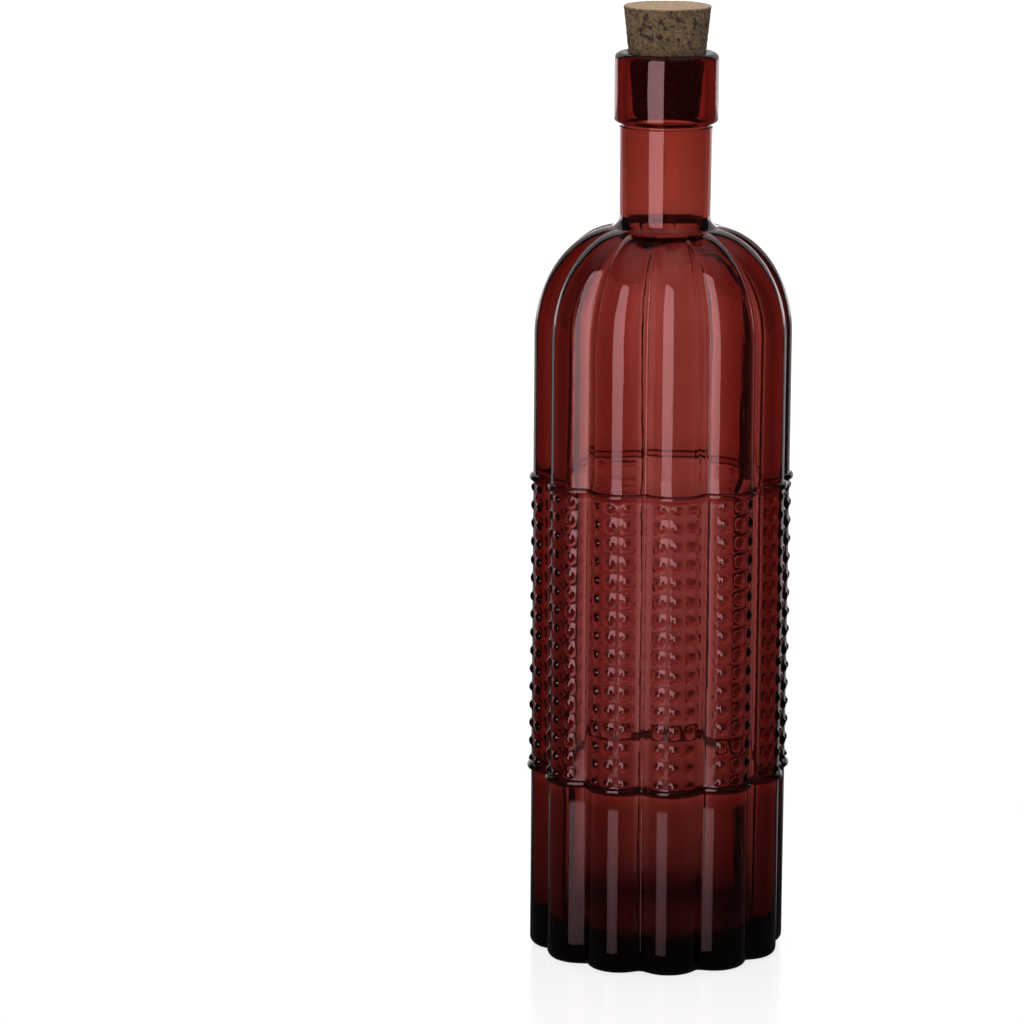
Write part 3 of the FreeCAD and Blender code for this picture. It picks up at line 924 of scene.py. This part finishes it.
class StageSettings(bpy.types.PropertyGroup):
    """Lights and lens of the pale studio"""

    board_light: factor("Board light", "Glow of the white board next to the bottle", 0.79, 5.0)
    back_light: factor("Back light", "Brightness of the white surroundings", 1.0, 5.0)
    front_shade: factor("Front shade", "Room in front, as seen through the glass", 0.5, 5.0)
    mirror_shade: factor("Mirror shade", "Room that the glass mirrors", 0.04, 5.0)
    top_glow: factor("Top glow", "Glow overhead that the glass mirrors or shows", 0.48, 5.0)
    skylight: factor("Skylight", "Extra light from overhead on dull surfaces", 2.2, 50.0)
    strip_light: factor("Strip light", "Brightness of the tall soft light at the left", 4.7, 50.0)
    back_panel: factor("Back panel", "Brightness of the panel behind, as mirrored", 1.8, 50.0)
    flag_edge: factor("Flag edge", "Cosine of the angle at which the white sheet ends", 0.68)
    # Radius of the painted shadow that the glass shows on the board round the bottle
    pool_radius: length("Pool radius", "Distance at which the board looks half as bright", 215.0)
    lens: factor("Lens", "Focal length in millimetres", 171.65, 1000.0)


# ---- meshes of the pieces

def plain_mesh(piece, name):
    """What a piece's modifiers make, as a mesh of its own without working attributes."""
    graph = bpy.context.evaluated_depsgraph_get()
    mesh = bpy.data.meshes.new_from_object(piece.evaluated_get(graph))
    if not mesh.polygons:
        raise RuntimeError(f"{name} came out empty")
    mesh.name = name
    for working in ("row", "lobe", "column", "dot_size", "in_panel", "inside", "blend", "dotted"):
        if working in mesh.attributes:
            mesh.attributes.remove(mesh.attributes[working])
    return mesh


def cork_sections(settings):
    """Radius and height of the cork's rings, from the middle of its foot to that of its top."""
    low, high = CORK_BOX
    foot_radius = CORK_FOOT_RADIUS * MM
    top_radius = (high.x - low.x) / 2
    edge = settings.edge
    sections = [(part * (foot_radius - edge), low.z) for part in FOOT_SHARES]
    sections += [(foot_radius - inset, low.z + rise) for rise, inset in rounding(edge, FOOT_ANGLES)]
    for height in spread(low.z + edge, high.z - edge, CORK_STEP * MM)[1:-1]:
        part = (height - low.z) / (high.z - low.z)
        sections.append((foot_radius + (top_radius - foot_radius) * part, height))
    sections += [(top_radius - inset, high.z - drop) for drop, inset in rounding(edge, TOP_ANGLES)]
    return sections + [(radius, high.z)
                       for radius in spread(top_radius - edge, 0.0, CORK_STEP * MM)[1:]]


def cork_mesh(settings):
    """A tapered cork with worn edges and small pits between its granules."""
    low, high = CORK_BOX
    sections = cork_sections(settings)[1:-1]
    points = [(0.0, 0.0, low.z)]
    centre = Vector((0.0, 0.0, (low.z + high.z) / 2))
    for radius, height in sections:
        for number in range(CORK_AROUND):
            turn = number * FULL_TURN / CORK_AROUND
            place = Vector((radius * math.sin(turn), -radius * math.cos(turn), height))
            gaps = noise.voronoi(place / (PIT_SPACING * MM), distance_metric="DISTANCE")[0]
            near = (gaps[1] - gaps[0]) * PIT_SHARPNESS
            depth = settings.pit_depth * max(0.0, 1.0 - near) ** 2
            depth += WEAR_DEPTH * MM * (1 + noise.noise(place / (WEAR_SPACING * MM)))
            inward = (centre - place).normalized()
            points.append(tuple(place + inward * depth))
    points.append((0.0, 0.0, high.z - CORK_DISH * MM))
    faces = ring_faces(1, len(sections), CORK_AROUND)
    last, tip = len(points) - 1 - CORK_AROUND, len(points) - 1
    for number in range(CORK_AROUND):
        following = (number + 1) % CORK_AROUND
        faces.append((0, 1 + following, 1 + number))
        faces.append((last + number, last + following, tip))
    mesh = bpy.data.meshes.new("tapered_cork")
    mesh.from_pydata(points, [], faces)
    mesh.shade_smooth()
    return mesh


# ---- the stage

def stage_sheet(context, name, corners, material):
    """A flat four-cornered object of the stage."""
    mesh = bpy.data.meshes.new(name)
    mesh.from_pydata([tuple(place) for place in corners], [], [(0, 1, 2, 3)])
    mesh.materials.append(material)
    made = add_object(context, name, mesh)
    return made


def card(context, name, width, heights, azimuth, brightness, shares):
    """An upright glowing card that faces the bottle's axis, hidden from the camera.

    Its azimuth counts from the front. Its shares give parts of its brightness by height.
    """
    turn = math.radians(azimuth)
    across = Vector((math.cos(turn), math.sin(turn), 0.0)) * width / 2
    centre = Vector((math.sin(turn), -math.cos(turn), 0.0)) * CARD_DISTANCE
    low, high = (Vector((0.0, 0.0, height)) for height in heights)
    material, tree, shader, where = new_material(name)
    lit = banded(tree, upward(tree, where), [(height, (share,) * 3) for height, share in shares])
    set_inputs(shader, {
        "Base Color": BLACK, "Roughness": 1.0, "Emission Color": CARD_COLOUR,
        "Emission Strength": lit * brightness})
    made = stage_sheet(context, name, (centre - across + low, centre + across + low,
                                       centre + across + high, centre - across + high), material)
    made.visible_camera = False
    made.visible_shadow = False
    return made


def add_board(context, settings):
    """Lay the white board just under the foot of the bottle."""
    corners = ((-1, -1), (1, -1), (1, 1), (-1, 1))
    board = stage_sheet(context, "white_board",
                        [(x * BOARD_HALF, y * BOARD_HALF, -BOARD_DROP) for x, y in corners],
                        white_board(settings))
    board.visible_glossy = False


def add_lights(context, settings):
    """Stand up the cards that the glass mirrors; the dots mirror the strip's dim stretch."""
    card(context, "strip_light", width=0.74, heights=(-0.36, 1.5), azimuth=STAGE_SWING - 24,
         brightness=settings.strip_light, shares=STRIP_SHARES)
    panel = card(context, "back_panel", width=2.3, heights=(-0.35, 1.2),
                 azimuth=STAGE_SWING + 180, brightness=settings.back_panel, shares=PANEL_SHARES)
    panel.visible_transmission = False


def add_surroundings(context, settings):
    """Put up the world round the stage: white for the camera, with a skylight for dull surfaces.

    Through the glass it is white behind and dimmer in front, and mirrored it is dark.
    """
    world = bpy.data.worlds.new("studio")
    world.use_nodes = True
    tree = world.node_tree
    path = tree.nodes.new("ShaderNodeLightPath")
    through = Wire(path.outputs["Is Transmission Ray"])
    mirrored = Wire(path.outputs["Is Glossy Ray"]) * (1 - through)
    towards = tree.nodes.new("ShaderNodeTexCoord").outputs["Generated"]
    rise = upward(tree, towards)
    white = settings.back_light
    behind = sheet_light(tree, towards_sheet(tree, towards), settings, white)
    above = mapped(tree, rise, *OVERHEAD_GLOW, 0.0, 1.0) * settings.top_glow
    seen = white + through * (behind + above - white)
    seen = seen + mirrored * (settings.mirror_shade + above - white)
    overhead = mapped(tree, rise, *SKYLIGHT_RISE, 0.0, settings.skylight)
    seen = seen + Wire(path.outputs["Is Diffuse Ray"]) * overhead
    set_inputs(tree.nodes["Background"], {"Color": WHITE, "Strength": seen})
    context.scene.world = world


def add_camera(context, settings):
    """Stand the camera in front of the bottle and above it, a little to the left."""
    data = bpy.data.cameras.new("camera")
    data.lens = settings.lens
    data.sensor_width = SENSOR_WIDTH
    camera = add_object(context, "camera", data)
    yaw, pitch, roll = (math.radians(turn) for turn in CAMERA_TURNS.values())
    forward = Vector((math.sin(yaw) * math.cos(pitch), math.cos(yaw) * math.cos(pitch),
                      -math.sin(pitch)))
    right = forward.cross(Vector((0, 0, 1))).normalized()
    up = right.cross(forward)
    level_right = right * math.cos(roll) + up * math.sin(roll)
    level_up = up * math.cos(roll) - right * math.sin(roll)
    swing = Matrix.Rotation(math.radians(STAGE_SWING), 4, "Z")
    axes = Matrix([swing @ axis for axis in (level_right, level_up, -forward)])
    place = swing @ Vector(CAMERA_PLACE)
    camera.matrix_world = Matrix.Translation(place) @ axes.transposed().to_4x4()
    context.scene.camera = camera


# ---- operators and panel

class BOTTLE_OT_glass(bpy.types.Operator):
    """Make the fluted glass bottle with its hobnail panel"""

    bl_idname = "bottle.glass"
    bl_label = "Glass bottle"

    def execute(self, context):
        settings = context.scene.bottle_glass
        cell = bpy.data.objects.new("dot_cell", dot_cell_mesh())
        piece = add_object(context, "fluted_glass", profile_mesh())
        modifier = piece.modifiers.new("Fluted glass", "NODES")
        modifier.node_group = glass_tree()
        set_modifier_inputs(modifier, {
            "Crest Radius": settings.crest_radius, "Valley Radius": settings.valley_radius,
            "Valley Blend": settings.valley_blend, "Dot Cell": cell,
            "Dot Fade": settings.dot_fade, "Dot Unevenness": settings.dot_unevenness,
            "Inner Waviness": settings.waviness, "Material": red_glass(settings)})
        finish_piece(piece, plain_mesh(piece, "fluted_glass"), "glass_bottle")
        bpy.data.objects.remove(cell)
        return {"FINISHED"}


class BOTTLE_OT_cork(bpy.types.Operator):
    """Make the tapered cork"""

    bl_idname = "bottle.cork"
    bl_label = "Cork"

    def execute(self, context):
        settings = context.scene.bottle_cork
        mesh = cork_mesh(settings)
        mesh.materials.append(pressed_cork(settings))
        piece = add_object(context, "tapered_cork", mesh)
        finish_piece(piece, mesh, "cork_stopper")
        return {"FINISHED"}


class BOTTLE_OT_stage(bpy.types.Operator):
    """Make the white board, the lights and the camera"""

    bl_idname = "bottle.stage"
    bl_label = "Stage and camera"

    def execute(self, context):
        settings = context.scene.bottle_stage
        for add_part in (add_board, add_lights, add_surroundings, add_camera):
            add_part(context, settings)
        context.scene.view_settings.view_transform = "Standard"
        return {"FINISHED"}


class BOTTLE_PT_maker(bpy.types.Panel):
    """Lists what the bottle is made of"""

    bl_idname = "BOTTLE_PT_maker"
    bl_label = "Fluted oil bottle"
    bl_space_type = "VIEW_3D"
    bl_region_type = "UI"
    bl_category = "Bottle"

    def draw(self, context):
        for group, operator in zip(GROUPS, OPERATORS):
            settings = getattr(context.scene, group)
            box = self.layout.box()
            for name in settings.bl_rna.properties.keys():
                if name not in ("rna_type", "name"):
                    box.prop(settings, name)
            box.operator(operator.bl_idname)


GROUPS = {"bottle_glass": GlassSettings, "bottle_cork": CorkSettings,
          "bottle_stage": StageSettings}
OPERATORS = (BOTTLE_OT_glass, BOTTLE_OT_cork, BOTTLE_OT_stage)
CLASSES = (*GROUPS.values(), *OPERATORS, BOTTLE_PT_maker)


def register():
    for cls in CLASSES:
        bpy.utils.register_class(cls)
    for name, group in GROUPS.items():
        setattr(bpy.types.Scene, name, bpy.props.PointerProperty(type=group))


def unregister():
    for name in GROUPS:
        delattr(bpy.types.Scene, name)
    for cls in reversed(CLASSES):
        bpy.utils.unregister_class(cls)


def main():
    """Build the bottle, the cork and the stage."""
    register()
    bpy.ops.bottle.glass()
    bpy.ops.bottle.cork()
    bpy.ops.bottle.stage()


if __name__ == "__main__":
    main()
